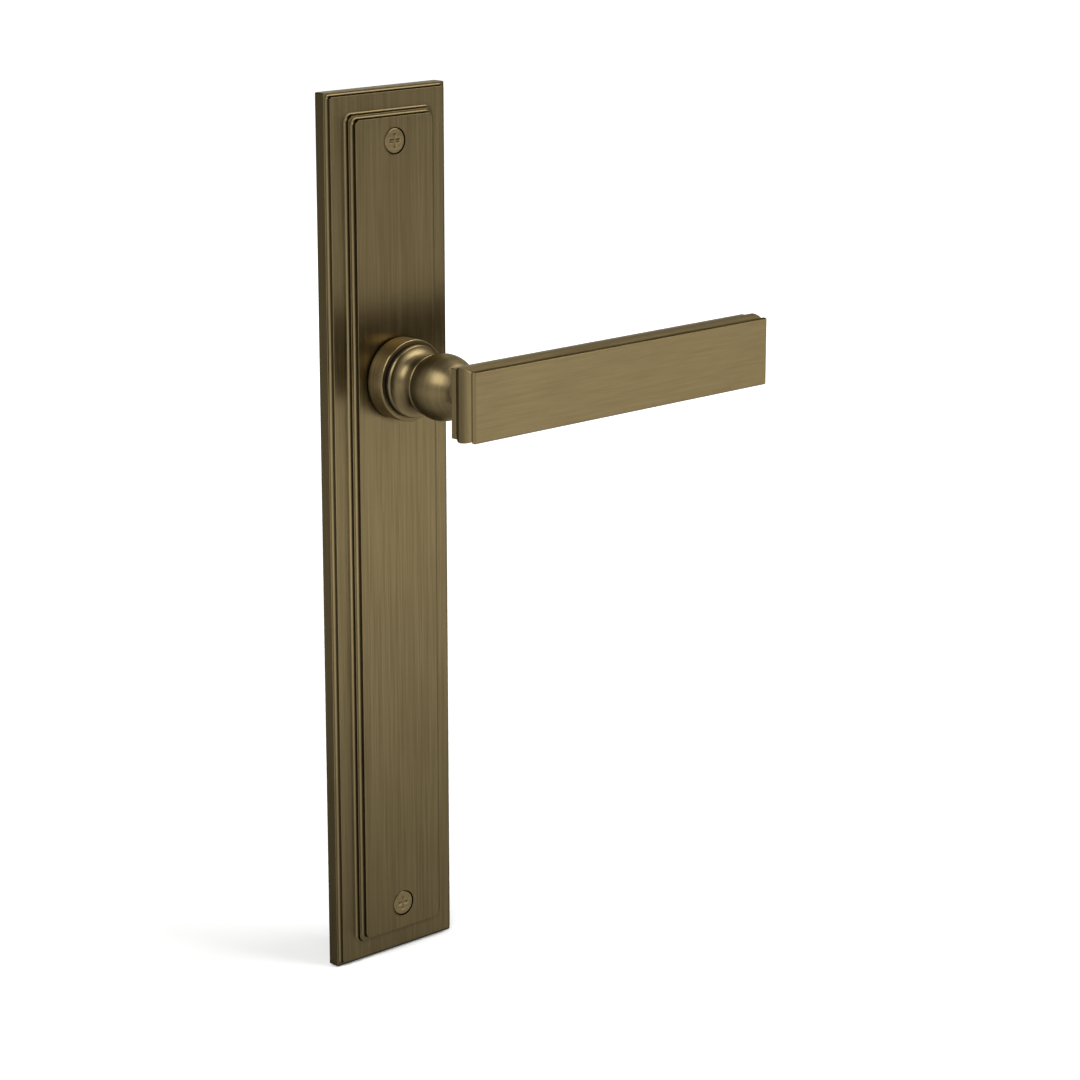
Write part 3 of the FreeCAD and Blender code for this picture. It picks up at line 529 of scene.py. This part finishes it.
# The ramps paint light and shade on the turned work by the way each face looks, and the undersides
# get painted shade.
neck_tone_and_light = [(0.0, 0.75), (0.4, 0.45), (0.5, 0.66), (0.7, 0.90), (0.85, 1.0), (1.0, 1.0)]
finish_node("lever_neck", antique_brass(
    "neck_brass", "turned", neck_tone_and_light, tone=1.12, gloss=0.38, underside_shade=0.45))
collar_tone_and_light = [(0.0, 0.6), (0.4, 0.6), (0.5, 1.0), (0.7, 0.72), (0.85, 0.56), (1.0, 0.72)]
finish_node("collar_ring", antique_brass(
    "collar_brass", "turned", collar_tone_and_light, tone=1.5, underside_shade=0.8))


def moulded_nylon(name, dark, light):
    """Nylon: a soft sheen, with the faint cloud that moulded nylon has."""
    material, tree = new_material(name)
    cloud = noise(tree, own_place(tree), 260.0, 3.0)
    colour = mix_colours(tree, map_range(tree, cloud, 0.3, 0.7), dark, light)
    bump = add_node(tree, "ShaderNodeBump", {
        "Strength": 0.2, "Distance": 0.00004, "Height": cloud})
    nylon = add_node(tree, "ShaderNodeBsdfPrincipled", {
        "Base Color": colour, "Roughness": 0.42, "Normal": bump.outputs[0]})
    add_node(tree, "ShaderNodeOutputMaterial", {"Surface": nylon.outputs[0]})
    return material


black_nylon = moulded_nylon("moulded_nylon", (0.016, 0.016, 0.017, 1.0),
                            (0.028, 0.028, 0.029, 1.0))
for name in ("neck_bush", "thrust_washer"):
    finish_node(name, black_nylon)

# Grip: a brass casting with a swelled side and a thin back lip, and a flat front plate
# pinned to it. Both are brushed along their length, and a file breaks their ridges.

# The front plate's box in millimetres gives the grip's place and size. The plate is wider
# at the back by its bevel, so the bevel comes off to get the size of its front.
GRIP_CORNER = 0.14
PLATE_BEVEL = 0.2
plate_low, plate_high = 1000 * np.array(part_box("grip_face_plate"))
GRIP_MIDDLE, GRIP_FRONT = (plate_low[0] + plate_high[0]) / 2, plate_low[1]
GRIP_HALF_LENGTH, GRIP_HALF_HEIGHT = (plate_high - plate_low)[[0, 2]] / 2 - PLATE_BEVEL


def parabola(first, control, last, share):
    """Points of a curve from first to last that leans to its control point.

    A point is (1 - s)^2 first + 2 s (1 - s) control + s^2 last, for each s in `share`.
    """
    return (1 - share) ** 2 * first + 2 * share * (1 - share) * control + share ** 2 * last


def rounded_outline(points, radii, steps=5):
    """Outline with its corners rounded: points is (n, 2), radii has one value a corner.

    A corner is cut back on both sides by its radius times tan(half the turn), no more than
    0.45 of the shorter side, and a parabola with the corner as its control point joins
    the two cuts. The first and last points stay as they are.
    """
    points = np.array(points, float)
    inner = points[1:-1]
    before, after = points[:-2] - inner, points[2:] - inner
    long_before = np.linalg.norm(before, axis=1, keepdims=True)
    long_after = np.linalg.norm(after, axis=1, keepdims=True)
    cosine = np.sum(before * after, axis=1, keepdims=True) / (long_before * long_after)
    turn = np.pi - np.arccos(np.clip(cosine, -1, 1))
    cut = np.minimum(np.array(radii, float)[:, None] * np.tan(turn / 2),
                     0.45 * np.minimum(long_before, long_after))
    first = inner + before / long_before * cut
    last = inner + after / long_after * cut
    share = np.linspace(0, 1, steps)[None, :, None]
    curve = parabola(first[:, None], inner[:, None], last[:, None], share)
    return np.vstack([points[:1], curve.reshape(-1, 2), points[-1:]])


def mitred_block(name, outline):
    """Grip layer: its moulding carried round the four sides, with mitred corners.

    outline has the side's offset from the front plate's edge and its depth behind the
    grip's front, from front to back. A ring is a rectangle with rounded corners: each
    point is a corner's centre plus the corner's radius times (cos, sin) of its angle.
    """
    quarter = np.linspace(0.0, np.pi / 2, 4)
    angle = (np.arange(4)[:, None] * np.pi / 2 + quarter).ravel()
    side = np.repeat(np.array([[1, 1], [-1, 1], [-1, -1], [1, -1]]), len(quarter), axis=0)
    offset = outline[:, :1]
    x = (GRIP_MIDDLE + side[:, 0] * (GRIP_HALF_LENGTH + offset - GRIP_CORNER)
         + GRIP_CORNER * np.cos(angle))
    z = side[:, 1] * (GRIP_HALF_HEIGHT + offset - GRIP_CORNER) + GRIP_CORNER * np.sin(angle)
    y = np.broadcast_to(GRIP_FRONT + outline[:, 1:], x.shape)
    return shell(name, np.stack([x, y, z], axis=-1), ends=("flat", "flat"))


def turned_cutter(name, outline, x, steps=48):
    """Drill for a hole that runs from front to back at x, in the middle of the grip.

    outline has its (radius, distance before the door) points: a ring's point is at
    (radius cos turn + x, -distance, radius sin turn).
    """
    turn = np.linspace(0, 2 * np.pi, steps, endpoint=False)
    radius, distance = np.array(outline, float).T[:, :, None]
    ring = np.stack([radius * np.cos(turn) + x,
                     np.broadcast_to(-distance, (len(outline), steps)),
                     radius * np.sin(turn)], axis=-1)
    return shell(name, ring, ends=("flat", "flat"))


def drill(piece, cutters):
    """Cut every cutter out of the piece, and throw the cutters away."""
    for cutter in cutters:
        cut = piece.modifiers.new("drill", "BOOLEAN")
        cut.operation = "DIFFERENCE"
        cut.solver = "EXACT"
        cut.object = cutter
    bpy.context.view_layer.update()
    drilled = piece.evaluated_get(bpy.context.evaluated_depsgraph_get())
    mesh = bpy.data.meshes.new_from_object(drilled)
    piece.modifiers.clear()
    piece.data = mesh
    for cutter in cutters:
        bpy.data.objects.remove(cutter)


def face_shading(piece, angle):
    """Smooth shading that keeps each flat face flat, and edges past the angle sharp."""
    piece.data.shade_smooth()
    piece.data.set_sharp_from_angle(angle=math.radians(angle))
    weigh = piece.modifiers.new("flat_faces_lead", "WEIGHTED_NORMAL")
    weigh.keep_sharp = True


# The ramps paint light and shade by the way each face looks. The casting's faces looking up or down
# are brightened as painted highlight; the front plate's are darkened, and its underside more, as
# painted shade.
grip_tone_and_light = [(0.0, 0.6), (0.12, 1.5), (0.2, 1.1), (0.28, 0.22), (0.4, 0.24), (0.47, 0.28),
             (0.49, 0.64), (0.51, 0.64), (0.53, 0.36), (0.58, 0.64), (0.64, 0.96),
             (0.72, 1.12), (0.85, 1.0), (1.0, 1.0)]
grip_brass = antique_brass("grip_brass", "along", grip_tone_and_light, tone=1.26, up_down_light=1.4,
                           edge_tint=0.85, contrast=0.7)
face_tone_and_light = [(0.0, 0.3), (0.25, 0.1), (0.47, 0.1), (0.5, 1.25), (0.7, 0.8), (0.92, 1.0),
             (1.0, 1.0)]
face_brass = antique_brass("face_brass", "along", face_tone_and_light, tone=1.38, up_down_light=0.4,
                           underside_shade=0.12, edge_tint=0.5, contrast=0.6)

# Holes: radii, places along the grip, and where they start and end before the door.
pin_hole, head_hole, screw_hole, dowel_hole = 1.53, 4.7, 2.65, 0.78
pin_places, screw_place, dowel_places = (14.0, 71.4), 0.0, (-4.7, 4.7)
plate_opening, front_opening, back_opening = 48.1, 50.7, 40.8
plate_pin_end, casting_pin_end, dowel_end = 50.43, 46.97, 44.03
head_seat_top, head_seat_foot = 49.6, 47.55

front_outline = [(-0.4, 0), (0, 0), (PLATE_BEVEL, 0.45), (PLATE_BEVEL, 1.5), (-0.4, 1.5)]
front_plate = mitred_block("grip_front_plate",
                           rounded_outline(front_outline, (0.20, 0.10, 0.28)))
pin_drill = [(pin_hole, plate_opening), (pin_hole, plate_pin_end)]
drill(front_plate, [turned_cutter("pin_drill", pin_drill, x) for x in pin_places])

swell_foot, swell_top, crown_end = (-0.12, 1.82), (0.64, 4.9), (0.1, 7.3)
share = np.linspace(0, 1, 15)[1:-1, None]
swell = parabola(np.array(swell_foot), np.array((0.45, 3.0)), np.array(swell_top), share)
crown = parabola(np.array(swell_top), np.array((0.86, 6.3)), np.array(crown_end), share)
casting_outline = np.vstack([
    [(-0.9, 1.5), (-0.5, 1.5), (-0.45, 1.76), swell_foot], swell, [swell_top], crown,
    [crown_end, (-0.4, 7.3), (-0.4, 7.5), (0.08, 7.5), (0.08, 9.3), (-0.4, 9.3)]])
softness = ([0.03, 0.03, 0.05] + [0.0] * (len(swell) + 1 + len(crown))
            + [0.05, 0.03, 0.03, 0.08, 0.12])
casting = mitred_block("grip_casting", rounded_outline(casting_outline, softness))
pin_drill = [(pin_hole, front_opening), (pin_hole, casting_pin_end)]
screw_drill = [(head_hole, front_opening), (head_hole, head_seat_top),
               (screw_hole, head_seat_foot), (screw_hole, back_opening)]
dowel_drill = [(dowel_hole, dowel_end), (dowel_hole, back_opening)]
drill(casting, [turned_cutter("pin_drill", pin_drill, x) for x in pin_places]
      + [turned_cutter("screw_drill", screw_drill, screw_place)]
      + [turned_cutter("dowel_drill", dowel_drill, x) for x in dowel_places])

for piece, node, brass in ((front_plate, "grip_face_plate", face_brass),
                           (casting, "grip_body", grip_brass)):
    face_shading(piece, 50)
    piece.data.materials.clear()
    piece.data.materials.append(brass)
    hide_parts(node)
    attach(piece, "lever")

# Hidden hardware: zinc-plated steel for the spindle, the spring's cup, cover, driver and
# pins, black steel for the set screw, and blued spring steel for what springs.


def plated_steel(name, dark, light, gloss):
    """Steel with a thin finish: cloudy tone, and a grain too fine to see one by one."""
    cloud_share, grain_share = 0.65, 0.35
    material, tree = new_material(name)
    place = own_place(tree)
    cloud = noise(tree, place, 130.0, 4.0)
    grain = noise(tree, place, 1400.0, 2.0)
    mixed = number_math(tree, "MULTIPLY_ADD", grain, grain_share,
                        number_math(tree, "MULTIPLY", cloud, cloud_share))
    colour = mix_colours(tree, map_range(tree, mixed, 0.36, 0.64), dark, light)
    roughness = map_range(tree, mixed, 0.3, 0.7, gloss - 0.05, gloss + 0.08)
    bump = add_node(tree, "ShaderNodeBump", {
        "Strength": 0.07, "Distance": 0.00002, "Height": grain})
    steel = add_node(tree, "ShaderNodeBsdfPrincipled", {
        "Base Color": colour, "Metallic": 1.0, "Roughness": roughness,
        "Normal": bump.outputs[0]})
    add_node(tree, "ShaderNodeOutputMaterial", {"Surface": steel.outputs[0]})
    return material


zinc = plated_steel("zinc_plated_steel", (0.24, 0.245, 0.25, 1.0),
                    (0.36, 0.365, 0.37, 1.0), 0.28)
for name in ("square_spindle", "spring_cup", "spring_cover", "spring_driver", "stop_pin",
             "cover_screws", "grip_screw", "neck_dowels", "face_plate_pins"):
    finish_node(name, zinc)
finish_node("grub_screw", plated_steel("black_set_screw", (0.030, 0.030, 0.032, 1.0),
                                       (0.055, 0.055, 0.056, 1.0), 0.42))
blued = plated_steel("blued_spring_steel", (0.105, 0.112, 0.130, 1.0),
                     (0.165, 0.168, 0.180, 1.0), 0.30)
for name in ("return_spring", "circlip", "curved_washer"):
    finish_node(name, blued)
